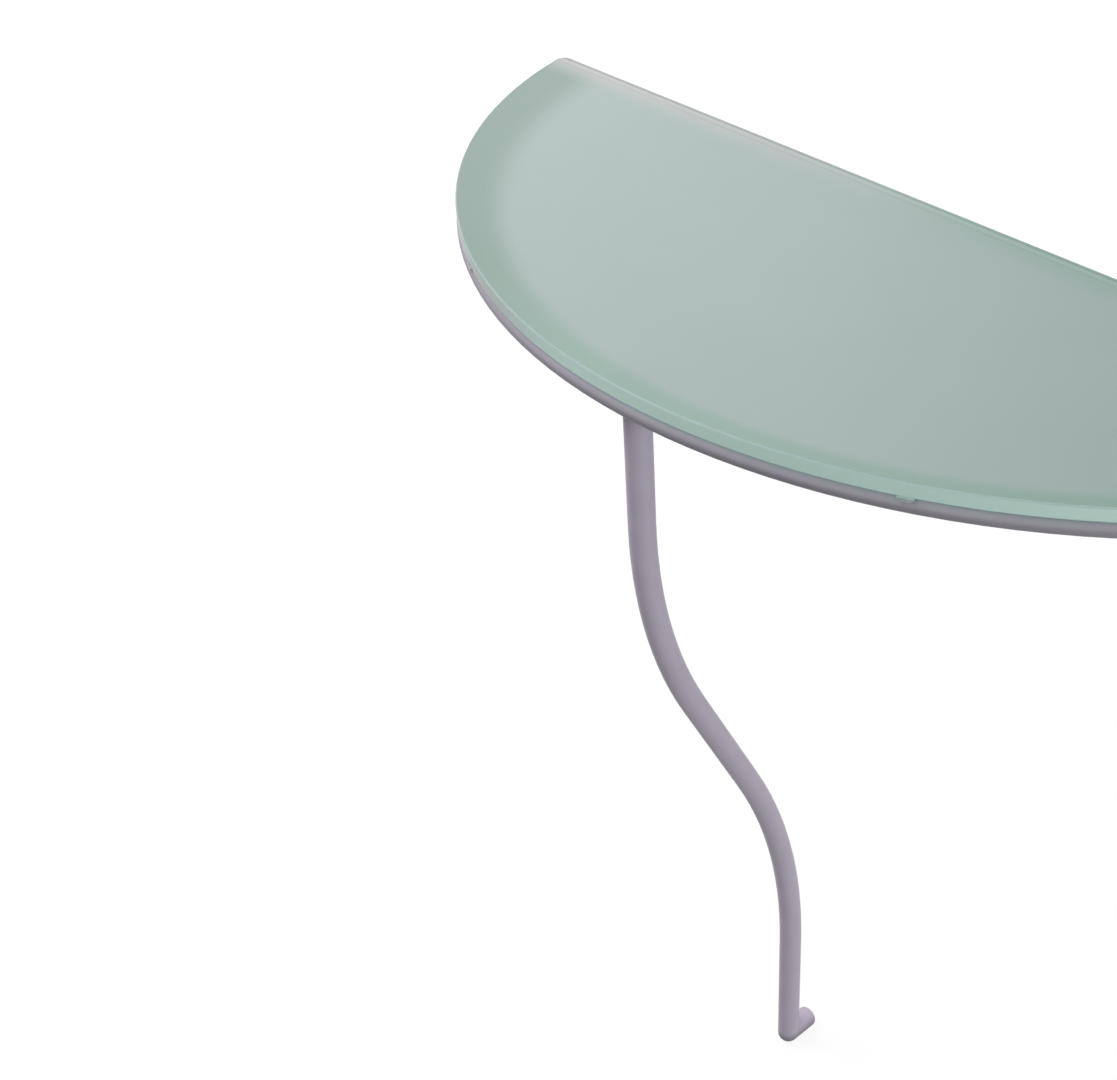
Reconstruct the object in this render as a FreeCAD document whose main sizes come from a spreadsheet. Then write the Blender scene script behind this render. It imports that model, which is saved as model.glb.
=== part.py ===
"""Wall-fixed demilune table: a glass segment on a bent rim, carried by one S-shaped leg.

X runs along the wall, +Y points at the wall and +Z is up. The origin is on the floor, under the middle of
the table's bounding box. All lengths are millimetres and all angles are degrees.
"""
import FreeCAD, Part
import Sketcher

import math
import os
from dataclasses import dataclass

SIZES = {
    # Whole table
    "top_width": 850.0,
    "top_depth": 320.0,
    "table_height": 730.0,
    # Glass
    "glass_thickness": 10.0,
    "glass_corner_radius": 8.0,
    "glass_arris": 1.0,
    "glass_wall_gap": 1.0,
    # Rim bar under the curved edge
    "rim_diameter": 10.0,
    "rim_proud": 0.5,
    "rim_trim_angle": 5.0,
    "pad_gap": 1.5,
    # Angle section along the wall
    "rail_height": 25.0,
    "rail_shelf": 12.0,
    "rail_wall": 3.0,
    "rail_root_radius": 2.0,
    "rail_end_clearance": 6.0,
    "rail_hole_diameter": 5.5,
    "rail_hole_drop": 15.0,
    "rail_outer_spacing": 700.0,
    "rail_inner_spacing": 240.0,
    # Bracket that the leg hangs from
    "bracket_width": 36.0,
    "bracket_tail": 20.0,
    "bracket_thickness": 5.0,
    "bracket_corner_radius": 6.0,
    "weld_gap": 0.2,
    # Leg tube
    "leg_diameter": 18.0,
    "leg_wall": 1.5,
    "leg_rim_gap": 2.5,
    "leg_offset": 144.0,
    "leg_bend_angle": 26.5,
    "upper_bend_radius": 390.0,
    "lower_bend_radius": 480.0,
    "upper_straight_share": 0.48,
    # Foot
    "heel_neck": 6.5,
    "toe_length": 26.5,
    "toe_edge_radius": 4.0,
    "spigot_length": 30.0,
    "spigot_edge_chamfer": 1.0,
    "plug_clearance": 0.1,
    # Screw joint at the top of the leg
    "insert_length": 28.0,
    "screw_diameter": 8.0,
    "screw_length": 25.0,
    "screw_head_diameter": 15.0,
    "screw_head_height": 3.5,
    "screw_tip_chamfer": 1.0,
    "screw_clearance": 0.2,
    "socket_across_flats": 5.0,
    "socket_depth": 2.5,
    # Clear saddle pads between rim and glass
    "pad_angle": 25.8,
    "pad_width": 10.0,
    "pad_proud": 0.5,
    "pad_reach": 4.0,
    "pad_side": 0.7,
    "pad_tongue_rise": 3.8,
    "pad_clearance": 0.1,
    # Clear bumpers on the wall rail
    "bumper_diameter": 6.0,
    "bumper_top_diameter": 5.0,
    "bumper_spacing": 280.0,
}

doc = FreeCAD.newDocument("DemiluneTable")
sheet = doc.addObject("Spreadsheet::Sheet", "Sizes")
for row, (alias, number) in enumerate(SIZES.items(), start=1):
    sheet.set(f"A{row}", alias)
    sheet.set(f"B{row}", str(number))
    sheet.setAlias(f"B{row}", alias)
doc.recompute()


@dataclass(frozen=True)
class Size:
    """A number together with the formula that ties it to the sheet."""

    value: float
    formula: str

    def __add__(self, other):
        return Size(self.value + other.value, f"({self.formula} + {other.formula})")

    def __sub__(self, other):
        return Size(self.value - other.value, f"({self.formula} - {other.formula})")

    def __mul__(self, other):
        other = as_size(other)
        return Size(self.value * other.value, f"({self.formula} * {other.formula})")

    def __truediv__(self, other):
        other = as_size(other)
        return Size(self.value / other.value, f"({self.formula} / {other.formula})")

    def __neg__(self):
        return Size(-self.value, f"(-1 * {self.formula})")


def as_size(number):
    """Wrap a plain factor so that it can stand beside a size."""
    return number if isinstance(number, Size) else Size(float(number), repr(number))


def cell(alias):
    """One driving size from the sheet."""
    return Size(float(sheet.get(alias)), f"Sizes.{alias}")


def root(size):
    return Size(math.sqrt(size.value), f"sqrt({size.formula})")


def sine(angle):
    return Size(math.sin(math.radians(angle.value)), f"sin({angle.formula})")


def cosine(angle):
    return Size(math.cos(math.radians(angle.value)), f"cos({angle.formula})")


def leg_of_triangle(hypotenuse, other_leg):
    """The third side of a right-angled triangle."""
    return root(hypotenuse * hypotenuse - other_leg * other_leg)


ZERO = Size(0.0, "0")
FULL_TURN_DEGREES = Size(360.0, "360")
DEGREES_PER_RADIAN = Size(math.degrees(1), "(180 / pi)")

# The curve of the top is a circular arc through both wall corners and the middle of the front.
half_width = cell("top_width") / 2
top_depth = cell("top_depth")
top_radius = (half_width * half_width + top_depth * top_depth) / (top_depth * 2)
arc_centre_behind_wall = top_radius - top_depth

# Places in the shared frame.
wall_y = (top_depth + cell("rim_proud")) / 2
arc_y = wall_y + arc_centre_behind_wall
glass_bottom_z = cell("table_height") - cell("glass_thickness")
frame_top_z = glass_bottom_z - cell("pad_gap")

rim_radius = cell("rim_diameter") / 2
rim_line_radius = top_radius + cell("rim_proud") - rim_radius
rim_inner_radius = rim_line_radius - rim_radius
rim_z = frame_top_z - rim_radius
rim_end_drop = arc_centre_behind_wall + cell("rail_wall")

leg_radius = cell("leg_diameter") / 2
leg_bore_radius = leg_radius - cell("leg_wall")
leg_line_radius = rim_inner_radius - cell("leg_rim_gap") - leg_radius
leg_y = arc_y - leg_line_radius
bracket_bottom_z = rim_z - cell("bracket_thickness") / 2
bracket_top_z = bracket_bottom_z + cell("bracket_thickness")

foot_y = leg_y + cell("leg_offset")
foot_top_z = cell("leg_diameter") + cell("heel_neck")
plug_radius = leg_bore_radius - cell("plug_clearance")


@dataclass(frozen=True)
class Arc:
    """A round side of an outline, by its centre and radius."""

    centre: tuple
    radius: Size
    clockwise: bool = False


def bind(item, path, size):
    """Tie a property to the sheet."""
    item.setExpression(path, size.formula)


def make_body(label, x=ZERO, y=ZERO, z=ZERO, turn=None):
    """An empty body placed in the shared frame, turned about its own Z axis if asked."""
    body = doc.addObject("PartDesign::Body", label)
    body.Label = label
    if turn is not None:
        upright = FreeCAD.Vector(0, 0, 1)
        body.Placement = FreeCAD.Placement(FreeCAD.Vector(), FreeCAD.Rotation(upright, turn.value))
        bind(body, ".Placement.Rotation.Angle", turn)
    bind(body, ".Placement.Base.x", x)
    bind(body, ".Placement.Base.y", y)
    bind(body, ".Placement.Base.z", z)
    return body


def origin_feature(body, role):
    return next(feature for feature in body.Origin.OriginFeatures if feature.Role == role)


def make_sketch(body, plane, name):
    """An empty sketch on one of the body's own origin planes."""
    sketch = body.newObject("Sketcher::SketchObject", name)
    sketch.AttachmentSupport = [(origin_feature(body, plane), "")]
    sketch.MapMode = "FlatFace"
    return sketch


def constrain(sketch, size, kind, *where):
    """Add a dimension that follows a size."""
    index = sketch.addConstraint(Sketcher.Constraint(kind, *where, size.value))
    bind(sketch, f"Constraints[{index}]", size)


def pin_point(sketch, geometry, position, point):
    """Hold a point of the sketch at a pair of sizes, measured from the sketch's origin."""
    axes = (("DistanceX", -2), ("DistanceY", -1))
    for size, (kind, zero_axis) in zip(point, axes):
        if size.value == 0:
            sketch.addConstraint(Sketcher.Constraint("PointOnObject", geometry, position, zero_axis))
        elif size.value > 0:
            constrain(sketch, size, kind, -1, 1, geometry, position)
        else:
            constrain(sketch, -size, kind, geometry, position, -1, 1)


def vector(point):
    return FreeCAD.Vector(point[0].value, point[1].value, 0)


def arc_geometry(arc, start, end):
    """A sketch arc from start to end; the sketch itself always stores it anticlockwise."""
    centre = vector(arc.centre)
    first, last = (end, start) if arc.clockwise else (start, end)
    angles = [math.atan2(point.y - centre.y, point.x - centre.x) for point in (first, last)]
    circle = Part.Circle(centre, FreeCAD.Vector(0, 0, 1), arc.radius.value)
    return Part.ArcOfCircle(circle, angles[0], angles[1])


def arc_ends(arc, line):
    """The first and last point of an arc in a sketch, in the direction of the outline."""
    return ((line, 2), (line, 1)) if arc.clockwise else ((line, 1), (line, 2))


def draw_outline(sketch, corners, arcs=None):
    """A closed outline through corners; arcs maps the number of a side to its Arc."""
    arcs = arcs or {}
    count = len(corners)
    starts = {}
    ends = {}
    for side in range(count):
        start = vector(corners[side])
        end = vector(corners[(side + 1) % count])
        if side in arcs:
            line = sketch.addGeometry(arc_geometry(arcs[side], start, end), False)
            starts[side], ends[side] = arc_ends(arcs[side], line)
        else:
            line = sketch.addGeometry(Part.LineSegment(start, end), False)
            starts[side], ends[side] = (line, 1), (line, 2)
    for side in range(count):
        following = (side + 1) % count
        sketch.addConstraint(Sketcher.Constraint("Coincident", *ends[side], *starts[following]))
    for side, corner in enumerate(corners):
        pin_point(sketch, *starts[side], corner)
    for side, arc in arcs.items():
        constrain(sketch, arc.radius, "Radius", starts[side][0])


def draw_circle(sketch, centre, radius):
    circle = Part.Circle(vector(centre), FreeCAD.Vector(0, 0, 1), radius.value)
    index = sketch.addGeometry(circle, False)
    pin_point(sketch, index, 3, centre)
    constrain(sketch, radius, "Radius", index)


def outline_sketch(body, plane, name, corners, arcs=None):
    sketch = make_sketch(body, plane, name)
    draw_outline(sketch, corners, arcs)
    return sketch


def circle_sketch(body, plane, name, radius, centre=(ZERO, ZERO)):
    sketch = make_sketch(body, plane, name)
    draw_circle(sketch, centre, radius)
    return sketch


def pad(body, sketch, length, symmetric=False):
    feature = body.newObject("PartDesign::Pad", f"{sketch.Name}Pad")
    feature.Profile = sketch
    feature.SideType = "Symmetric" if symmetric else "One side"
    bind(feature, "Length", length)
    doc.recompute()
    return feature


def cut(body, feature):
    """Recompute a cutting feature and make sure that it took material away."""
    before = feature.BaseFeature.Shape.Volume if feature.BaseFeature else body.Shape.Volume
    doc.recompute()
    if not feature.Shape.Volume < before:
        raise RuntimeError(f"{body.Label}: {feature.Name} cut nothing")
    return feature


def pocket_through(body, sketch):
    """Cut a sketch right through the body, both ways."""
    feature = body.newObject("PartDesign::Pocket", f"{sketch.Name}Pocket")
    feature.Profile = sketch
    feature.Type = "ThroughAll"
    feature.SideType = "Symmetric"
    return cut(body, feature)


def pocket(body, sketch, depth):
    """Cut a sketch down from its plane."""
    feature = body.newObject("PartDesign::Pocket", f"{sketch.Name}Pocket")
    feature.Profile = sketch
    bind(feature, "Length", depth)
    return cut(body, feature)


def turn_profile(body, sketch, angle=FULL_TURN_DEGREES):
    """Revolve a sketch about the body's Z axis, half the angle to each side."""
    feature = body.newObject("PartDesign::Revolution", f"{sketch.Name}Revolution")
    feature.Profile = sketch
    feature.ReferenceAxis = (origin_feature(body, "Z_Axis"), [""])
    feature.Midplane = True
    bind(feature, "Angle", angle)
    doc.recompute()
    return feature


def groove(body, sketch):
    """Turn a recess about the body's Z axis."""
    feature = body.newObject("PartDesign::Groove", f"{sketch.Name}Groove")
    feature.Profile = sketch
    feature.ReferenceAxis = (origin_feature(body, "Z_Axis"), [""])
    bind(feature, "Angle", FULL_TURN_DEGREES)
    return cut(body, feature)


def pipe(body, kind, profile, path):
    """Sweep a profile along a path sketch, adding or taking away."""
    feature = body.newObject(f"PartDesign::{kind}Pipe", f"{profile.Name}Pipe")
    feature.Profile = profile
    feature.Spine = (path, [f"Edge{number + 1}" for number in range(len(path.Geometry))])
    doc.recompute()
    return feature


def edges_where(feature, test):
    """Names of the feature's edges that pass a test."""
    return [f"Edge{number}" for number, edge in enumerate(feature.Shape.Edges, start=1) if test(edge)]


def is_upright(edge):
    first, last = edge.Vertexes[0].Point, edge.Vertexes[-1].Point
    return math.hypot(last.x - first.x, last.y - first.y) < edge.Length and abs(last.z - first.z) > 0


def soften(body, kind, base, edges, size):
    """Fillet or chamfer named edges of a feature."""
    feature = body.newObject(f"PartDesign::{kind}", f"{base.Name}{kind}")
    feature.Base = (base, edges)
    bind(feature, "Radius" if kind == "Fillet" else "Size", size)
    doc.recompute()
    return feature


def glass_top():
    """Satin glass segment with rounded wall corners and an arris all round both faces."""
    body = make_body("glass_top", y=wall_y, z=glass_bottom_z)
    back_y = -cell("glass_wall_gap")
    corner_x = leg_of_triangle(top_radius, arc_centre_behind_wall + cell("glass_wall_gap"))
    corners = [(-corner_x, back_y), (corner_x, back_y)]
    front = Arc((ZERO, arc_centre_behind_wall), top_radius, clockwise=True)
    sketch = outline_sketch(body, "XY_Plane", "GlassOutline", corners, {1: front})
    plate = pad(body, sketch, cell("glass_thickness"))
    rounded = soften(body, "Fillet", plate, edges_where(plate, is_upright), cell("glass_corner_radius"))
    rims = edges_where(rounded, lambda edge: not is_upright(edge))
    soften(body, "Chamfer", rounded, rims, cell("glass_arris"))
    return body


def rim_rail():
    """Round bar bent to the curve, its ends cut flat where they meet the wall rail."""
    body = make_body("rim_rail", y=arc_y, z=rim_z)
    section = circle_sketch(body, "YZ_Plane", "RimSection", rim_radius, (-rim_line_radius, ZERO))
    reach = Size(
        math.degrees(math.acos(rim_end_drop.value / rim_line_radius.value)),
        f"acos({(rim_end_drop / rim_line_radius).formula}) / 1 deg",
    )
    turn_profile(body, section, (reach + cell("rim_trim_angle")) * 2)
    side = rim_line_radius + cell("rim_diameter")
    corners = [(-side, -rim_end_drop), (side, -rim_end_drop), (side, side), (-side, side)]
    pocket_through(body, outline_sketch(body, "XY_Plane", "RimTrim", corners))
    return body


def wall_rail():
    """Angle section under the back edge: a shelf for the glass and a flange with screw holes."""
    body = make_body("wall_rail", y=wall_y, z=frame_top_z)
    wall = cell("rail_wall")
    shelf = cell("rail_shelf")
    height = cell("rail_height")
    inner_root = (-wall, -wall)
    corners = [(ZERO, ZERO), (-shelf, ZERO), (-shelf, -wall), inner_root, (-wall, -height), (ZERO, -height)]
    section = outline_sketch(body, "YZ_Plane", "RailSection", corners)
    half_length = leg_of_triangle(rim_line_radius + rim_radius, rim_end_drop)
    bar = pad(body, section, half_length * 2, symmetric=True)

    def is_root(edge):
        y, z = (edge.CenterOfMass.y, edge.CenterOfMass.z)
        return math.isclose(y, -wall.value) and math.isclose(z, -wall.value)

    soften(body, "Fillet", bar, edges_where(bar, is_root), cell("rail_root_radius"))

    shelf_room = leg_of_triangle(rim_inner_radius, arc_centre_behind_wall + shelf)
    shelf_end = shelf_room - cell("rail_end_clearance")
    trim = make_sketch(body, "XY_Plane", "ShelfTrim")
    for near, far in ((shelf_end, half_length), (-shelf_end, -half_length)):
        draw_outline(trim, [(near, -wall), (far, -wall), (far, -shelf), (near, -shelf)])
    pocket_through(body, trim)

    holes = make_sketch(body, "XZ_Plane", "ScrewHoles")
    for spacing in (cell("rail_outer_spacing"), cell("rail_inner_spacing")):
        for centre_x in (-spacing / 2, spacing / 2):
            draw_circle(holes, (centre_x, -cell("rail_hole_drop")), cell("rail_hole_diameter") / 2)
    pocket_through(body, holes)
    return body


def leg_bracket():
    """Plate welded inside the rim, with a countersunk hole over the leg."""
    body = make_body("leg_bracket", y=leg_y, z=bracket_bottom_z)
    half = cell("bracket_width") / 2
    tail = cell("bracket_tail")
    thickness = cell("bracket_thickness")
    front_radius = rim_inner_radius - cell("weld_gap")
    front_y = leg_line_radius - leg_of_triangle(front_radius, half)
    corners = [(-half, front_y), (half, front_y), (half, tail), (-half, tail)]
    front = Arc((ZERO, leg_line_radius), front_radius)
    plate = pad(body, outline_sketch(body, "XY_Plane", "BracketOutline", corners, {0: front}), thickness)

    def is_tail_corner(edge):
        return is_upright(edge) and edge.CenterOfMass.y > 0

    soften(body, "Fillet", plate, edges_where(plate, is_tail_corner), cell("bracket_corner_radius"))
    clearance = cell("screw_clearance")
    hole_radius = cell("screw_diameter") / 2 + clearance
    head_radius = cell("screw_head_diameter") / 2 + clearance
    throat_z = thickness - cell("screw_head_height")
    hole = [
        (ZERO, ZERO),
        (hole_radius, ZERO),
        (hole_radius, throat_z),
        (head_radius, thickness),
        (ZERO, thickness),
    ]
    groove(body, outline_sketch(body, "YZ_Plane", "Countersink", hole))
    return body


def leg_tube():
    """Round tube bent in an S, from the bracket down to the foot, stepping in towards the wall."""
    body = make_body("leg_tube", y=leg_y, z=bracket_bottom_z)
    offset = cell("leg_offset")
    angle = cell("leg_bend_angle")
    upper = cell("upper_bend_radius")
    lower = cell("lower_bend_radius")
    bends = upper + lower
    slant = (offset - (bends - bends * cosine(angle))) / sine(angle)
    drop = bends * sine(angle) + slant * cosine(angle)
    length = bracket_bottom_z - foot_top_z
    top_straight = (length - drop) * cell("upper_straight_share")

    slant_start = (upper - upper * cosine(angle), -top_straight - upper * sine(angle))
    slant_end = (slant_start[0] + slant * sine(angle), slant_start[1] - slant * cosine(angle))
    lower_centre = (offset - lower, slant_end[1] - lower * sine(angle))
    points = [
        (ZERO, ZERO),
        (ZERO, -top_straight),
        slant_start,
        slant_end,
        (offset, -top_straight - drop),
        (offset, -length),
    ]
    bends_at = {1: Arc((upper, -top_straight), upper), 3: Arc(lower_centre, lower, clockwise=True)}
    path = open_path(body, "LegPath", points, bends_at)
    pipe(body, "Additive", circle_sketch(body, "XY_Plane", "LegOutside", leg_radius), path)
    pipe(body, "Subtractive", circle_sketch(body, "XY_Plane", "LegBore", leg_bore_radius), path)
    return body


def open_path(body, name, points, arcs):
    """A path sketch on the YZ plane of lines and arcs through points."""
    sketch = make_sketch(body, "YZ_Plane", name)
    previous = None
    for side, (start, end) in enumerate(zip(points, points[1:])):
        arc = arcs.get(side)
        if arc:
            line = sketch.addGeometry(arc_geometry(arc, vector(start), vector(end)), False)
            first, last = arc_ends(arc, line)
            constrain(sketch, arc.radius, "Radius", line)
        else:
            line = sketch.addGeometry(Part.LineSegment(vector(start), vector(end)), False)
            first, last = (line, 1), (line, 2)
        if previous:
            sketch.addConstraint(Sketcher.Constraint("Coincident", *previous, *first))
        pin_point(sketch, *first, start)
        previous = last
    pin_point(sketch, *previous, points[-1])
    return sketch


def heel_foot():
    """Solid foot on a spigot in the tube: a ball-shaped heel and a short toe that points at the wall."""
    body = make_body("heel_foot", y=foot_y, z=foot_top_z)
    toe = cell("toe_length")
    toe_line = leg_radius - foot_top_z
    corners = [(ZERO, ZERO), (leg_radius, ZERO), (leg_radius, toe_line), (ZERO, -foot_top_z)]
    heel = Arc((ZERO, toe_line), leg_radius, clockwise=True)
    turn_profile(body, outline_sketch(body, "YZ_Plane", "HeelProfile", corners, {2: heel}))
    bar = pad(body, circle_sketch(body, "XZ_Plane", "ToeSection", leg_radius, (ZERO, toe_line)), toe)
    bar.Reversed = True
    doc.recompute()

    def is_toe_edge(edge):
        return math.isclose(edge.CenterOfMass.y, toe.value, rel_tol=1e-4) and len(edge.Vertexes) == 1

    soften(body, "Fillet", bar, edges_where(bar, is_toe_edge), cell("toe_edge_radius"))
    spigot = pad(body, circle_sketch(body, "XY_Plane", "Spigot", plug_radius), cell("spigot_length"))

    def is_spigot_end(edge):
        return math.isclose(edge.CenterOfMass.z, cell("spigot_length").value) and len(edge.Vertexes) == 1

    soften(body, "Chamfer", spigot, edges_where(spigot, is_spigot_end), cell("spigot_edge_chamfer"))
    return body


def leg_insert():
    """Threaded plug that closes the top of the leg tube, flush with its end."""
    body = make_body("leg_insert", y=leg_y, z=bracket_bottom_z)
    sketch = circle_sketch(body, "XY_Plane", "InsertSection", plug_radius)
    draw_circle(sketch, (ZERO, ZERO), cell("screw_diameter") / 2 + cell("screw_clearance") / 2)
    plug = pad(body, sketch, cell("insert_length"))
    plug.Reversed = True
    doc.recompute()
    return body


def leg_screw():
    """Countersunk screw with a hexagon socket, its head flush with the bracket."""
    body = make_body("leg_screw", y=leg_y, z=bracket_top_z)
    shank = cell("screw_diameter") / 2
    head = cell("screw_head_diameter") / 2
    tip = cell("screw_tip_chamfer")
    length = cell("screw_length")
    profile = [
        (ZERO, ZERO),
        (head, ZERO),
        (shank, -cell("screw_head_height")),
        (shank, tip - length),
        (shank - tip, -length),
        (ZERO, -length),
    ]
    turn_profile(body, outline_sketch(body, "YZ_Plane", "ScrewProfile", profile))
    flat = cell("socket_across_flats") / 2
    point = flat * 2 / root(as_size(3))
    hexagon = [
        (point, ZERO),
        (point / 2, flat),
        (-point / 2, flat),
        (-point, ZERO),
        (-point / 2, -flat),
        (point / 2, -flat),
    ]
    pocket(body, outline_sketch(body, "XY_Plane", "Socket", hexagon), cell("socket_depth"))
    return body


def rim_pad(label, turn):
    """Clear pad that saddles the rim under the glass, with a rounded tongue over the rim's outer side."""
    body = make_body(label, y=arc_y, z=rim_z, turn=turn)
    half = cell("pad_width") / 2
    top = rim_radius + cell("pad_gap")
    side = top - cell("pad_side")
    tongue = cell("pad_tongue_rise")
    sag = side - tongue
    round_radius = (half * half + sag * sag) / (sag * 2)
    corners = [(-half, top), (half, top), (half, side), (-half, side)]
    round_end = Arc((ZERO, tongue + round_radius), round_radius, clockwise=True)
    sketch = outline_sketch(body, "XZ_Plane", "PadOutline", corners, {2: round_end})
    inner = rim_line_radius - cell("pad_reach")
    bind(sketch, ".AttachmentOffset.Base.z", inner)
    pad(body, sketch, top_radius + cell("pad_proud") - inner)
    saddle = rim_radius + cell("pad_clearance")
    groove(body, circle_sketch(body, "YZ_Plane", "Saddle", saddle, (-rim_line_radius, ZERO)))
    return body


def rail_bumper(label, x):
    """Clear pad between the wall rail's shelf and the glass."""
    bumper = doc.addObject("Part::Cone", label)
    bumper.Label = label
    bind(bumper, "Radius1", cell("bumper_diameter") / 2)
    bind(bumper, "Radius2", cell("bumper_top_diameter") / 2)
    bind(bumper, "Height", cell("pad_gap"))
    bind(bumper, ".Placement.Base.x", x)
    bind(bumper, ".Placement.Base.y", wall_y - (cell("rail_shelf") + cell("rail_wall")) / 2)
    bind(bumper, ".Placement.Base.z", frame_top_z)
    return bumper


def check(parts):
    """Stop if anything in the document failed or any piece has no sound solid."""
    for item in doc.Objects:
        if {"Invalid", "Error"} & set(item.State):
            raise RuntimeError(f"{item.Label} failed: {item.State}")
    for part in parts:
        if part.Shape.isNull() or not part.Shape.isValid() or not part.Shape.Solids:
            raise RuntimeError(f"{part.Label} has no valid solid")


def main():
    parts = [
        glass_top(),
        rim_rail(),
        wall_rail(),
        leg_bracket(),
        leg_tube(),
        heel_foot(),
        leg_insert(),
        leg_screw(),
        rim_pad("rim_pad_left", -cell("pad_angle")),
        rim_pad("rim_pad_right", cell("pad_angle")),
        rail_bumper("rail_bumper_left", -cell("bumper_spacing")),
        rail_bumper("rail_bumper_middle", ZERO),
        rail_bumper("rail_bumper_right", cell("bumper_spacing")),
    ]
    doc.recompute()
    check(parts)
    os.makedirs("parts", exist_ok=True)
    for part in parts:
        part.Shape.exportStep(f"parts/{part.Label}.step")
        box = part.Shape.optimalBoundingBox()
        low = f"{box.XMin:.1f} {box.YMin:.1f} {box.ZMin:.1f}"
        high = f"{box.XMax:.1f} {box.YMax:.1f} {box.ZMax:.1f}"
        print(f"{part.Label}: {part.Shape.Volume:.0f} mm3, from {low} to {high}")


main()
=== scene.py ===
"""Looks of the wall-fixed demilune table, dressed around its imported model.

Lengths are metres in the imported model's frame: X along the wall, +Y at the wall, +Z up.
"""
import logging
import math
from dataclasses import dataclass, field
from enum import Enum

import bpy
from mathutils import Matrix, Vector


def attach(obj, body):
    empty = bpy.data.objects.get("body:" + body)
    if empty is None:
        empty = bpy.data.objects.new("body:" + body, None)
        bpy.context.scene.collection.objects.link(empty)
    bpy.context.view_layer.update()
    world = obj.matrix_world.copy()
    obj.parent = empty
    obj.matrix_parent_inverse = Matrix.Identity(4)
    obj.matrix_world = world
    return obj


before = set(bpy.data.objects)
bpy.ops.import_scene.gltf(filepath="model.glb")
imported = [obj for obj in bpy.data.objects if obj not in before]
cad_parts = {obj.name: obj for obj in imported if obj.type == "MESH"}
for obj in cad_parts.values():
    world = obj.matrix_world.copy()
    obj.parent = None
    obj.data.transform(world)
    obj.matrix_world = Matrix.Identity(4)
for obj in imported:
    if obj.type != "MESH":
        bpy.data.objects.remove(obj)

Colour = tuple[float, float, float]
Point = tuple[float, float, float]
Span = tuple[float, float]
Socket = bpy.types.NodeSocket

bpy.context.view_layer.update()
WHITE: Colour = (1.0, 1.0, 1.0)
ORIGIN: Point = (0.0, 0.0, 0.0)
LEVEL: Point = (1.0, 1.0, 0.0)
RISING: Span = (0.0, 1.0)
FALLING: Span = (1.0, 0.0)
# The curved edge of the glass and the rim are bent round one upright axis, at X 0 and this Y.
ARC_Y = 0.2825
log = logging.getLogger("demilune_table")


def scaled(colour: Colour, share: float) -> Colour:
    """A colour made darker by a share."""
    return tuple(part * share for part in colour)


class Coordinate(Enum):
    """What a pattern follows: the place of a surface, or the way it faces."""

    PLACE = "Object"
    FACING = "Normal"


@dataclass(frozen=True)
class Grain:
    """Noise in a finish: bumps per metre, layers of finer noise, the span that counts, and its stretch."""

    scale: float
    detail: float = 2.0
    span: Span = (0.3, 0.7)
    stretch: Point = (1.0, 1.0, 1.0)


class Desk:
    """Lays out shader nodes in one tree."""

    def __init__(self, tree: bpy.types.NodeTree) -> None:
        """Clear a node tree for new nodes."""
        self.tree = tree
        self.tree.nodes.clear()

    def feed(self, target: Socket, value: object) -> None:
        """Link a socket to another, or set it to a plain value.

        Args:
            target: socket that takes the value.
            value: another socket, or a number, vector or colour.
        """
        if isinstance(value, Socket):
            self.tree.links.new(value, target)
        elif target.type == "RGBA":
            target.default_value = (*value, 1.0)
        else:
            target.default_value = value

    def wire(self, kind: str, sockets: dict[str | int, object], **settings: object) -> bpy.types.NodeOutputs:
        """Add a node and feed it.

        Args:
            kind: type of the node.
            sockets: what its input sockets take, by name or number.
            settings: its properties.

        Returns:
            The node's output sockets.
        """
        node = self.tree.nodes.new(kind)
        for key, value in settings.items():
            setattr(node, key, value)
        for key, value in sockets.items():
            self.feed(node.inputs[key], value)
        return node.outputs

    def calc(self, operation: str, first: object, second: object = 0.0) -> Socket:
        """One step of arithmetic on two sockets or numbers."""
        return self.wire("ShaderNodeMath", {0: first, 1: second}, operation=operation)[0]

    def calc_vector(self, operation: str, first: object, second: Point = ORIGIN) -> bpy.types.NodeOutputs:
        """One step of arithmetic on two vectors."""
        return self.wire("ShaderNodeVectorMath", {0: first, 1: second}, operation=operation)

    def ramp(self, value: Socket, span: Span, result: Span = RISING) -> Socket:
        """A smooth step from one result to another over a span of a value.

        Args:
            value: socket to read.
            span: values at which the step begins and ends.
            result: results before and after it.

        Returns:
            The result's socket.
        """
        ends = {"From Min": span[0], "From Max": span[1], "To Min": result[0], "To Max": result[1]}
        step = self.wire("ShaderNodeMapRange", {"Value": value, **ends}, interpolation_type="SMOOTHSTEP")
        return step["Result"]

    def mix_shaders(self, share: Socket, first: Socket, second: Socket) -> Socket:
        """Two shaders in one, by the second's share."""
        return self.wire("ShaderNodeMixShader", {"Fac": share, 1: first, 2: second})["Shader"]

    def seen(self) -> Socket:
        """Share that is 1 for rays from the eye, reflections and glass, and 0 for light.

        Returns:
            The share's socket.
        """
        ray = self.wire("ShaderNodeLightPath", {})
        either = self.calc("MAXIMUM", ray["Is Camera Ray"], ray["Is Glossy Ray"])
        return self.calc("MAXIMUM", either, ray["Is Transmission Ray"])


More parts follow.
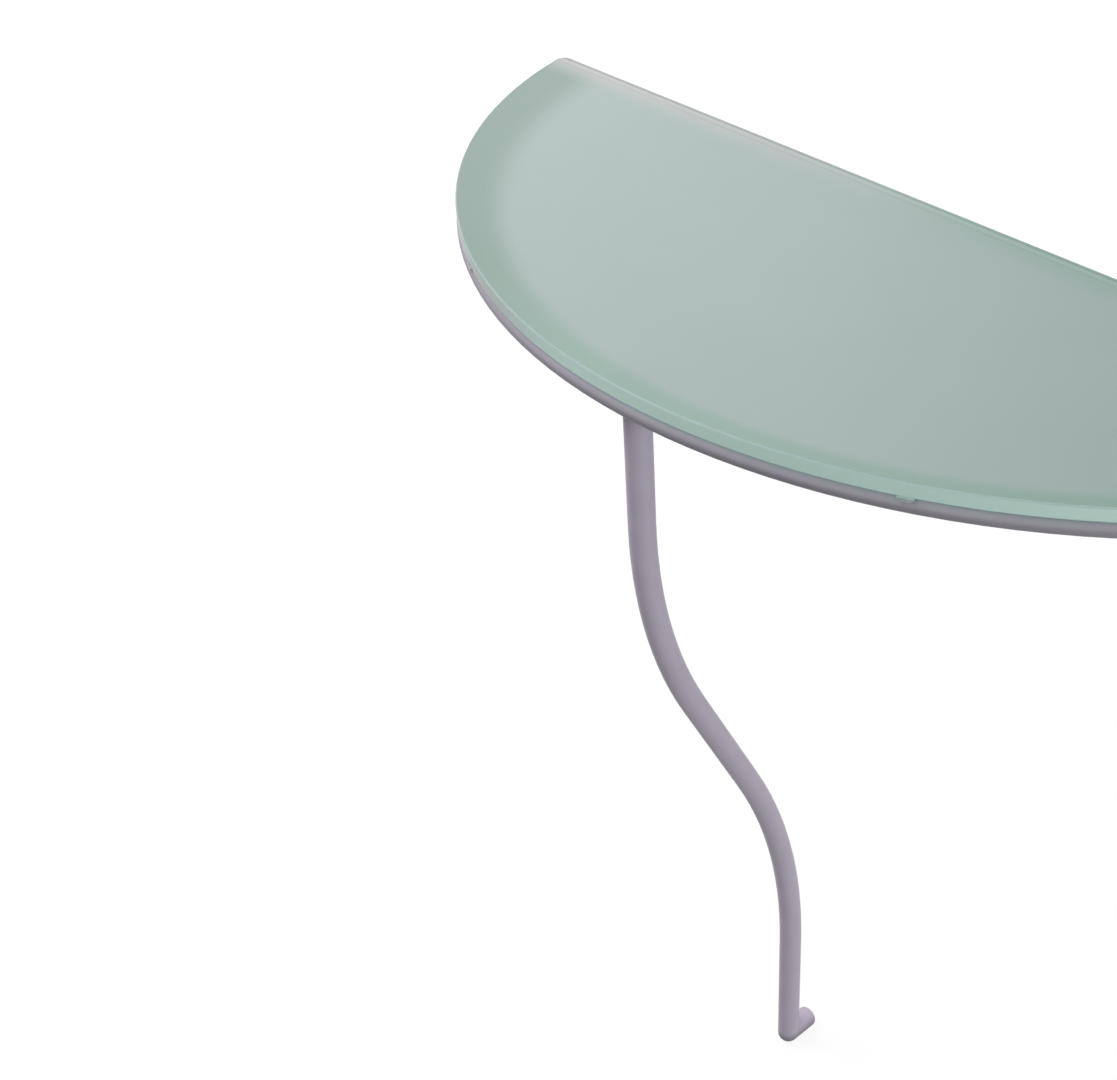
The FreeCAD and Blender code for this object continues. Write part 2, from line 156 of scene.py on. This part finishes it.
class Bench(Desk):
    """Lays out the nodes of one finish, on the own coordinates of the piece that takes it."""

    def __init__(self, name: str) -> None:
        """Start a finish with a bare surface.

        Args:
            name: name of the new material.
        """
        self.material = bpy.data.materials.new(name)
        self.material.use_nodes = True
        super().__init__(self.material.node_tree)
        self.output = self.tree.nodes.new("ShaderNodeOutputMaterial")
        self.surface = self.tree.nodes.new("ShaderNodeBsdfPrincipled")
        self.feed(self.output.inputs["Surface"], self.surface.outputs["BSDF"])
        self.coordinates = self.wire("ShaderNodeTexCoord", {})

    def split(self, coordinate: Coordinate) -> bpy.types.NodeOutputs:
        """Sockets X, Y and Z of a coordinate."""
        return self.wire("ShaderNodeSeparateXYZ", {0: self.coordinates[coordinate.value]})

    def mix(self, data_type: str, share: Socket, first: object, second: object) -> Socket:
        """Mix two values, each a socket or plain, by the second's share."""
        sockets = {"Factor": share, "A": first, "B": second}
        return self.wire("ShaderNodeMix", sockets, data_type=data_type)["Result"]

    def blend(self, share: Socket, first: object, second: object) -> Socket:
        """Mix two colours, each a socket or plain, by the second's share."""
        return self.mix("RGBA", share, first, second)

    def deepen(self, share: Socket, colour: Colour, depth: float) -> Socket:
        """A colour that falls to a darker one as a share rises."""
        return self.blend(share, colour, scaled(colour, depth))

    def noise(self, grain: Grain) -> Socket:
        """Noise on the piece's own coordinates.

        Args:
            grain: size and layers of the noise.

        Returns:
            Socket of the noise, about 0.5 on average.
        """
        place = {"Vector": self.coordinates[Coordinate.PLACE.value], "Scale": grain.stretch}
        stretched = self.wire("ShaderNodeMapping", place)["Vector"]
        size = {"Vector": stretched, "Scale": grain.scale, "Detail": grain.detail}
        return self.wire("ShaderNodeTexNoise", size)["Fac"]

    def patches(self, grain: Grain, result: Span = RISING) -> Socket:
        """Noise spread over a span of results."""
        return self.ramp(self.noise(grain), grain.span, result)

    def reach(self, centre: Point) -> Socket:
        """Level distance of the surface from an upright axis.

        Args:
            centre: point on the axis.

        Returns:
            Socket of the distance in metres.
        """
        offset = self.calc_vector("SUBTRACT", self.coordinates[Coordinate.PLACE.value], centre)["Vector"]
        flat = self.calc_vector("MULTIPLY", offset, LEVEL)["Vector"]
        return self.calc_vector("LENGTH", flat)["Value"]

    def relief(self, height: Socket, depth: float, strength: object = 1.0) -> Socket:
        """Normal of a surface with a fine relief of a depth in metres, faded by a strength."""
        bump = self.wire("ShaderNodeBump", {"Height": height, "Distance": depth, "Strength": strength})
        return bump["Normal"]

    def fill(self, tint: Colour, density: float) -> None:
        """Tint what lies inside the surface."""
        inside = self.wire("ShaderNodeVolumeAbsorption", {"Color": tint, "Density": density})
        self.feed(self.output.inputs["Volume"], inside["Volume"])

    def let_light_through(self, colour: Colour) -> None:
        """Let part of the lamps' light pass straight through the surface.

        Args:
            colour: colour and strength of the light that passes.
        """
        shadow = self.wire("ShaderNodeLightPath", {})["Is Shadow Ray"]
        clear = self.wire("ShaderNodeBsdfTransparent", {"Color": colour})["BSDF"]
        either = self.mix_shaders(shadow, self.surface.outputs["BSDF"], clear)
        self.feed(self.output.inputs["Surface"], either)

    def finish(self, sockets: dict[str, object]) -> bpy.types.Material:
        """Feed the surface.

        Args:
            sockets: what its sockets take, by name.

        Returns:
            The finished material.
        """
        for key, value in sockets.items():
            self.feed(self.surface.inputs[key], value)
        return self.material


@dataclass(frozen=True)
class ReflectedLine:
    """A thin soft painted reflection of the back edge on the glass, dark or light."""

    gap: float
    half: float
    share: float
    dark: bool


# Painted reflections of the back edge: gap from the edge, half width, strength, and dark or light.
BACK_REFLECTED_LINES = (
    ReflectedLine(gap=0.0034, half=0.0021, share=0.72, dark=True),
    ReflectedLine(gap=0.0070, half=0.0020, share=0.25, dark=False),
    ReflectedLine(gap=0.0104, half=0.0020, share=0.22, dark=True),
)


@dataclass(frozen=True)
class SatinGlass:
    """Acid-etched float glass: milky faces that blur what lies under them, and a polished green edge."""

    radius: float = 0.4422
    back_y: float = 0.1593
    face_tilt: Span = (0.8, 0.95)
    arris_tilt: Span = (0.2, 0.6)
    # Painted shade: over this span of X the edge and the green band darken towards the left end.
    left_shade_x: Span = (-0.2, -0.02)
    face_colour: Colour = (0.343, 0.441, 0.42)
    cloud_colour: Colour = (0.335, 0.432, 0.411)
    clouds: Grain = Grain(9.0, 3.0)
    # The edge's own green, lightened into a painted glow of light carried in through the glass; the bottom
    # arris takes it too.
    edge_and_glow_colour: Colour = (0.76, 0.99, 0.92)
    edge_left_shade_share: float = 0.3
    arris_colour: Colour = (0.463, 0.6, 0.585)
    # Partly the glass's own greener edge, partly painted shade of the rim seen through the glass; the clear
    # middle is off centre, so the band is wider at the left.
    band_and_shade_colour: Colour = (0.256, 0.398, 0.338)
    band_left_shade_share: float = 0.82
    band_span: Span = (0.6, 1.45)
    clear_radius: float = 0.4025
    clear_centre: Point = (0.0147, 0.2575, 0.0)
    # Painted light: a pale strip along the back edge, fading out from the left towards the middle.
    lit_strip_colour: Colour = (0.512, 0.512, 0.501)
    lit_strip_width: float = 0.034
    lit_strip_x: Span = (-0.38, 0.08)
    green_x: Span = (-0.12, 0.06)
    green_share: float = 0.95
    # Colour of the painted dark reflected lines along the back edge.
    reflected_line_colour: Colour = (0.165, 0.22, 0.205)
    face_roughness: Span = (0.46, 0.54)
    edge_roughness: float = 0.24
    satin: Grain = Grain(900.0, span=(0.2, 0.8))
    etch: Grain = Grain(2600.0, 1.0)
    etch_depth: float = 0.00002
    transmission: float = 0.3
    index: float = 1.52
    tint: Colour = (0.45, 0.86, 0.72)
    tint_density: float = 8.0
    shadow_colour: Colour = (0.76, 0.86, 0.82)

    def make(self) -> bpy.types.Material:
        """Build the material.

        Returns:
            The finished glass.
        """
        bench = Bench("satin_glass_dressed")
        tilt = bench.split(Coordinate.FACING)["Z"]
        level = bench.ramp(bench.calc("ABSOLUTE", tilt), self.face_tilt)
        slope = bench.ramp(tilt, self.arris_tilt)
        # Painted shade: the edge and the green band are darker towards the left end.
        left_shade = bench.ramp(bench.split(Coordinate.PLACE)["X"], self.left_shade_x, FALLING)

        face = bench.blend(bench.patches(self.clouds), self.face_colour, self.cloud_colour)
        # The green band, partly painted shade of the rim under the glass.
        band = bench.deepen(left_shade, self.band_and_shade_colour, self.band_left_shade_share)
        face = self.back_light_and_reflections(bench, bench.blend(self.rim_band_and_shade(bench), face, band))
        # Painted glow on the polished edge, with painted shade towards the left end.
        edge = bench.deepen(left_shade, self.edge_and_glow_colour, self.edge_left_shade_share)
        edge = bench.blend(slope, edge, self.arris_colour)
        etched = bench.calc("MAXIMUM", level, slope)
        satin = bench.patches(self.satin, self.face_roughness)

        bench.fill(self.tint, self.tint_density)
        bench.let_light_through(self.shadow_colour)
        return bench.finish({
            "Base Color": bench.blend(level, edge, face),
            "Roughness": bench.mix("FLOAT", etched, self.edge_roughness, satin),
            "Normal": bench.relief(bench.noise(self.etch), self.etch_depth, level),
            "IOR": self.index,
            "Transmission Weight": self.transmission,
        })

    def rim_band_and_shade(self, bench: Bench) -> Socket:
        """Share of the green band along the curved edge, between the edge and the clear round middle: partly
        the glass's own greener edge, partly painted shade of the rim seen through the glass.

        Args:
            bench: material in the making.

        Returns:
            Socket that is 1 at the curved edge and 0 further in.
        """
        from_edge = bench.calc("SUBTRACT", self.radius, bench.reach((0.0, ARC_Y, 0.0)))
        from_clear = bench.calc("SUBTRACT", bench.reach(self.clear_centre), self.clear_radius)
        share = bench.calc("DIVIDE", from_edge, bench.calc("ADD", from_edge, from_clear))
        return bench.ramp(share, self.band_span, FALLING)

    def back_light_and_reflections(self, bench: Bench, face: Socket) -> Socket:
        """Lay a painted light strip over the wall rail, pale to green, and painted reflections of the back
        edge as thin lines.

        Args:
            bench: material in the making.
            face: colour of the face without them.

        Returns:
            Socket of the face's colour with them.
        """
        place = bench.split(Coordinate.PLACE)
        gap = bench.calc("SUBTRACT", self.back_y, place["Y"])
        # Painted light: the pale strip along the back edge, with the green band colour further right.
        near = bench.ramp(gap, (0.0, self.lit_strip_width), FALLING)
        pale = bench.ramp(place["X"], self.lit_strip_x, FALLING)
        face = bench.blend(bench.calc("MULTIPLY", near, pale), face, self.lit_strip_colour)
        green = bench.ramp(place["X"], self.green_x, (0.0, self.green_share))
        face = bench.blend(bench.calc("MULTIPLY", near, green), face, self.band_and_shade_colour)
        # Painted reflections of the back edge seen through the top: thin dark and light lines.
        for line in BACK_REFLECTED_LINES:
            offset = bench.calc("ABSOLUTE", bench.calc("SUBTRACT", gap, line.gap))
            ridge = bench.ramp(offset, (0.0, line.half), (line.share, 0.0))
            face = bench.blend(ridge, face, self.reflected_line_colour if line.dark else self.lit_strip_colour)
        return face


@dataclass(frozen=True)
class FramePaint:
    """Satin lilac-grey powder coat with a fine orange peel, and painted shade low down or facing down."""

    name: str
    colour: Colour
    shade_by: Coordinate
    shade_span: Span
    shade_share: float
    mottle: Grain = Grain(35.0, 3.0)
    mottle_share: float = 0.95
    sheen: Grain = Grain(1500.0, 1.0, (0.25, 0.75))
    roughness: Span = (0.37, 0.47)
    gloss: float = 0.25
    peel: Grain = Grain(420.0)
    peel_depth: float = 0.00004

    def make(self) -> bpy.types.Material:
        """Build the material.

        Returns:
            The finished paint.
        """
        bench = Bench(self.name)
        tone = bench.deepen(bench.patches(self.mottle), self.colour, self.mottle_share)
        # Painted shade: darker below a height, or where the surface faces down.
        shade = bench.ramp(bench.split(self.shade_by)["Z"], self.shade_span, FALLING)
        return bench.finish({
            "Base Color": bench.blend(shade, tone, scaled(self.colour, self.shade_share)),
            "Roughness": bench.patches(self.sheen, self.roughness),
            "Normal": bench.relief(bench.noise(self.peel), self.peel_depth),
            "Specular IOR Level": self.gloss,
        })


LEG_COLOUR: Colour = (0.555, 0.507, 0.61)
# Painted shade on the leg where it faces steeply down.
LEG_PAINT = FramePaint(
    name="leg_paint_dressed",
    colour=LEG_COLOUR,
    shade_by=Coordinate.FACING,
    shade_span=(-0.75, -0.5),
    shade_share=0.78,
)
# Painted shade: the heel takes the leg's paint, darker within about 16 mm of the floor, where the floor
# shades it.
HEEL_PAINT = FramePaint(
    name="heel_paint_shaded_dressed",
    colour=LEG_COLOUR,
    shade_by=Coordinate.PLACE,
    shade_span=(0.006, 0.016),
    shade_share=0.45,
)
# Painted shade: the rim takes the leg's paint darkened, for the rim under the glass's edge, and darker again
# where it faces level or down.
RIM_PAINT = FramePaint(
    name="rim_paint_shaded_dressed",
    colour=(0.39, 0.369, 0.425),
    shade_by=Coordinate.FACING,
    shade_span=(0.18, 0.42),
    shade_share=0.86,
    gloss=0.15,
)


@dataclass(frozen=True)
class PlatedSteel:
    """Bright zinc plate with turned marks."""

    colour: Colour = (0.62, 0.62, 0.60)
    stain_colour: Colour = (0.50, 0.51, 0.53)
    stains: Grain = Grain(160.0, 3.0, (0.35, 0.7))
    roughness: Span = (0.22, 0.4)
    marks: Grain = Grain(300.0, span=(0.2, 0.8), stretch=(1.0, 1.0, 14.0))
    mark_depth: float = 0.00002

    def make(self) -> bpy.types.Material:
        """Build the material.

        Returns:
            The finished plate.
        """
        bench = Bench("plated_steel_dressed")
        marks = bench.noise(self.marks)
        return bench.finish({
            "Base Color": bench.blend(bench.patches(self.stains), self.colour, self.stain_colour),
            "Roughness": bench.ramp(marks, self.marks.span, self.roughness),
            "Normal": bench.relief(marks, self.mark_depth),
            "Metallic": 1.0,
        })


@dataclass(frozen=True)
class ClearPlastic:
    """Clear soft moulded plastic, a little cloudy."""

    colour: Colour = (0.51, 0.58, 0.555)
    haze_colour: Colour = (0.46, 0.53, 0.505)
    haze: Grain = Grain(350.0)
    sheen: Grain = Grain(900.0, span=(0.2, 0.8))
    roughness: Span = (0.3, 0.41)
    skin: Grain = Grain(700.0, 1.0)
    skin_depth: float = 0.00002
    transmission: float = 0.3
    index: float = 1.45
    shadow_colour: Colour = (0.6, 0.66, 0.64)

    def make(self) -> bpy.types.Material:
        """Build the material.

        Returns:
            The finished plastic.
        """
        bench = Bench("clear_plastic_dressed")
        bench.let_light_through(self.shadow_colour)
        return bench.finish({
            "Base Color": bench.blend(bench.patches(self.haze), self.colour, self.haze_colour),
            "Roughness": bench.patches(self.sheen, self.roughness),
            "Normal": bench.relief(bench.noise(self.skin), self.skin_depth),
            "IOR": self.index,
            "Transmission Weight": self.transmission,
        })


def coat(node: str, material: bpy.types.Material) -> None:
    """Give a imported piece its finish.

    Args:
        node: name of the piece.
        material: finish for all its slots.
    """
    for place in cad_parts[node].material_slots:
        place.material = material
    log.info("%s takes %s", node, material.name)


@dataclass
class WeldBead:
    """Fillet bead between two steel pieces: a round section spun along an arc."""

    name: str
    centre: Point
    axis: Point
    start: Point
    sweep: float
    radius: float
    steps: int
    sides: int = 12
    merge_gap: float = 0.000001
    ripple: float = 0.00022
    seed: int = 4

    def build(self) -> bpy.types.Object:
        """Model the bead.

        Returns:
            The bead, riding on the frame.
        """
        along = Vector(self.axis).cross(Vector(self.start) - Vector(self.centre))
        turn = along.to_track_quat("Z", "Y").to_euler()
        bpy.ops.object.select_all(action="DESELECT")
        bpy.ops.mesh.primitive_circle_add(
            vertices=self.sides, radius=self.radius, fill_type="NGON", location=self.start, rotation=turn
        )
        bead = bpy.context.active_object
        bead.name = self.name
        bpy.ops.object.transform_apply(location=True, rotation=True, scale=True)
        bpy.ops.object.mode_set(mode="EDIT")
        bpy.ops.mesh.select_all(action="SELECT")
        # A positive angle spins clockwise round the axis.
        angle = -math.radians(self.sweep)
        bpy.ops.mesh.spin(steps=self.steps, angle=angle, center=self.centre, axis=self.axis)
        bpy.ops.mesh.select_all(action="SELECT")
        bpy.ops.mesh.remove_doubles(threshold=self.merge_gap)
        bpy.ops.mesh.normals_make_consistent(inside=False)
        bpy.ops.transform.vertex_random(offset=self.ripple, seed=self.seed)
        bpy.ops.object.mode_set(mode="OBJECT")
        rounding = bead.modifiers.new("rounding", "SUBSURF")
        rounding.levels = rounding.render_levels = 1
        bpy.ops.object.modifier_apply(modifier=rounding.name)
        bpy.ops.object.shade_smooth()
        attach(bead, "root")
        log.info("%s modelled", self.name)
        return bead


@dataclass
class GlassTop:
    """The glass that lies on the frame."""

    finish: SatinGlass

    def dress(self) -> None:
        """Give the glass its finish."""
        coat("glass_top", self.finish.make())


@dataclass
class TopFrame:
    """Bent rim, wall rail and leg bracket, welded together under the glass."""

    paint: FramePaint
    rim_reach: float = 0.4377
    rim_height: float = 0.7135
    rim_radius: float = 0.005
    end_x: float = 0.4194
    end_y: float = 0.1573
    end_bead: float = 0.0014
    end_stand_off: float = 0.3
    end_start: float = -55.0
    end_sweep: float = 160.0
    end_steps: int = 28
    bracket_half: float = 0.0165
    bracket_half_height: float = 0.0025
    bracket_bead: float = 0.0013
    bracket_stand_off: float = 0.4
    bracket_steps: int = 24
    beads: list[bpy.types.Object] = field(default_factory=list)

    def build(self) -> None:
        """Model the weld beads."""
        self.build_end_beads()
        self.build_bracket_beads()

    def build_end_beads(self) -> None:
        """Lay beads round the inner and lower side of the rim's ends, where they meet the wall rail."""
        stand_off = self.end_stand_off * self.end_bead
        reach = self.rim_radius + stand_off
        angle = math.radians(self.end_start)
        for name, side in (("weld_rim_end_left", -1.0), ("weld_rim_end_right", 1.0)):
            centre = (side * self.end_x, self.end_y - stand_off, self.rim_height)
            start = (
                centre[0] + side * reach * math.cos(angle),
                centre[1],
                centre[2] + reach * math.sin(angle),
            )
            axis = (0.0, side, 0.0)
            bead = WeldBead(name, centre, axis, start, self.end_sweep, self.end_bead, self.end_steps)
            self.beads.append(bead.build())

    def build_bracket_beads(self) -> None:
        """Lay beads along the joint of bracket and rim, above and below."""
        stand_off = self.bracket_stand_off * self.bracket_bead
        reach = self.rim_reach - self.rim_radius + stand_off
        half_turn = math.asin(self.bracket_half / reach)
        sweep = math.degrees(2.0 * half_turn)
        axis = (0.0, 0.0, 1.0)
        for name, side in (("weld_bracket_top", 1.0), ("weld_bracket_bottom", -1.0)):
            height = self.rim_height + side * (self.bracket_half_height + stand_off)
            centre = (0.0, ARC_Y, height)
            start = (-reach * math.sin(half_turn), ARC_Y - reach * math.cos(half_turn), height)
            bead = WeldBead(name, centre, axis, start, sweep, self.bracket_bead, self.bracket_steps)
            self.beads.append(bead.build())

    def dress(self) -> None:
        """Paint the frame and its beads."""
        material = self.paint.make()
        for node in ("rim_rail", "wall_rail", "leg_bracket"):
            coat(node, material)
        for bead in self.beads:
            bead.data.materials.append(material)


@dataclass
class Leg:
    """Bent tube with its heel, and the hidden screw and insert that hold it."""

    paint: FramePaint
    heel_paint: FramePaint
    plate: PlatedSteel

    def dress(self) -> None:
        """Give the pieces their finishes."""
        coat("leg_tube", self.paint.make())
        coat("heel_foot", self.heel_paint.make())
        plate = self.plate.make()
        for node in ("leg_insert", "leg_screw"):
            coat(node, plate)


@dataclass
class GlassRests:
    """Clear pads on the rim and bumpers on the wall rail, which the glass lies on."""

    finish: ClearPlastic

    def dress(self) -> None:
        """Give the pads and bumpers their finish."""
        material = self.finish.make()
        for side in ("left", "right"):
            coat(f"rim_pad_{side}", material)
        for place in ("left", "middle", "right"):
            coat(f"rail_bumper_{place}", material)


@dataclass(frozen=True)
class Softbox:
    """One square studio lamp aimed at a point."""

    name: str
    place: Point
    aim: Point
    side: float
    watts: float
    colour: Colour = WHITE

    def build(self) -> None:
        """Add the lamp to the scene."""
        data = bpy.data.lights.new(self.name, "AREA")
        data.size = self.side
        data.energy = self.watts
        data.color = self.colour
        lamp = bpy.data.objects.new(self.name, data)
        lamp.location = self.place
        lamp.rotation_euler = (Vector(self.aim) - Vector(self.place)).to_track_quat("-Z", "Y").to_euler()
        bpy.context.scene.collection.objects.link(lamp)


UNDER_TOP: Point = (0.0, 0.0, 0.6)
SOFTBOXES = (
    Softbox("back_softbox", (-1.9, 1.3, 2.2), UNDER_TOP, side=1.8, watts=20.0, colour=(1.0, 0.92, 0.97)),
    Softbox("right_softbox", (2.3, 0.1, 0.45), (0.0, 0.0, 0.45), side=0.9, watts=20.0),
    Softbox("left_softbox", (-1.5, -0.9, 2.7), UNDER_TOP, side=1.2, watts=39.0, colour=(1.0, 0.96, 0.98)),
    Softbox("front_softbox", (0.9, -1.6, 2.4), UNDER_TOP, side=1.2, watts=8.0),
)


@dataclass
class Studio:
    """Pale floor, soft light and the camera of the photograph."""

    floor_side: float = 60.0
    floor_colour: Colour = (0.1, 0.1, 0.1)
    glow: Span = (0.9, 1.0)
    glow_reach: Span = (1.1, 2.2)
    shadow_share: Colour = (0.12, 0.12, 0.12)
    sky: float = 0.42
    backdrop: float = 1.0
    photo_width: float = 1117.0
    camera_place: Point = (0.7083, -0.7441, 1.2702)
    camera_pitch: float = -35.565
    camera_turn: float = 45.56
    focal_pixels: float = 1808.0
    axis_pixel: float = 743.4
    sensor: float = 36.0

    def build_floor(self) -> None:
        """Lay the floor: white from above, with a faint shadow of the table, and clear from below."""
        bpy.ops.object.select_all(action="DESELECT")
        bpy.ops.mesh.primitive_plane_add(size=self.floor_side)
        floor = bpy.context.active_object
        floor.name = "studio_floor"
        material = bpy.data.materials.new("studio_floor")
        material.use_nodes = True
        desk = Desk(material.node_tree)
        place = desk.wire("ShaderNodeTexCoord", {})[Coordinate.PLACE.value]
        glow = desk.ramp(desk.calc_vector("LENGTH", place)["Value"], self.glow_reach, self.glow)
        white = desk.wire("ShaderNodeEmission", {"Color": WHITE, "Strength": glow})[0]
        pale = desk.wire("ShaderNodeBsdfDiffuse", {"Color": self.shadow_share})[0]
        shown = desk.wire("ShaderNodeAddShader", {0: white, 1: pale})[0]
        dull = desk.wire("ShaderNodeBsdfDiffuse", {"Color": self.floor_colour})[0]
        above = desk.mix_shaders(desk.seen(), dull, shown)
        below = desk.wire("ShaderNodeBsdfTransparent", {"Color": WHITE})[0]
        from_below = desk.wire("ShaderNodeNewGeometry", {})["Backfacing"]
        desk.wire("ShaderNodeOutputMaterial", {"Surface": desk.mix_shaders(from_below, above, below)})
        floor.data.materials.append(material)

    def build_sky(self) -> None:
        """Light everything softly from all round, and show white behind the floor."""
        world = bpy.data.worlds.new("studio_sky")
        world.use_nodes = True
        desk = Desk(world.node_tree)
        light = desk.wire("ShaderNodeBackground", {"Color": WHITE, "Strength": self.sky})[0]
        white = desk.wire("ShaderNodeBackground", {"Color": WHITE, "Strength": self.backdrop})[0]
        desk.wire("ShaderNodeOutputWorld", {"Surface": desk.mix_shaders(desk.seen(), light, white)})
        bpy.context.scene.world = world

    def build_camera(self) -> None:
        """Set up the camera from the fitted view."""
        data = bpy.data.cameras.new("photo_camera")
        data.sensor_width = self.sensor
        data.lens = self.sensor * self.focal_pixels / self.photo_width
        data.shift_x = 0.5 - self.axis_pixel / self.photo_width
        camera = bpy.data.objects.new("photo_camera", data)
        camera.location = self.camera_place
        camera.rotation_euler = (math.radians(90.0 + self.camera_pitch), 0.0, math.radians(self.camera_turn))
        bpy.context.scene.collection.objects.link(camera)
        bpy.context.scene.camera = camera

    def build(self) -> None:
        """Build the whole stage."""
        self.build_floor()
        self.build_sky()
        for lamp in SOFTBOXES:
            lamp.build()
        self.build_camera()
        bpy.context.scene.view_settings.view_transform = "Standard"


def main() -> None:
    """Dress the table and set the stage."""
    logging.basicConfig(level=logging.INFO, format="%(message)s")
    GlassTop(SatinGlass()).dress()
    top_frame = TopFrame(RIM_PAINT)
    top_frame.build()
    top_frame.dress()
    Leg(LEG_PAINT, HEEL_PAINT, PlatedSteel()).dress()
    GlassRests(ClearPlastic()).dress()
    Studio().build()


if __name__ == "__main__":
    main()
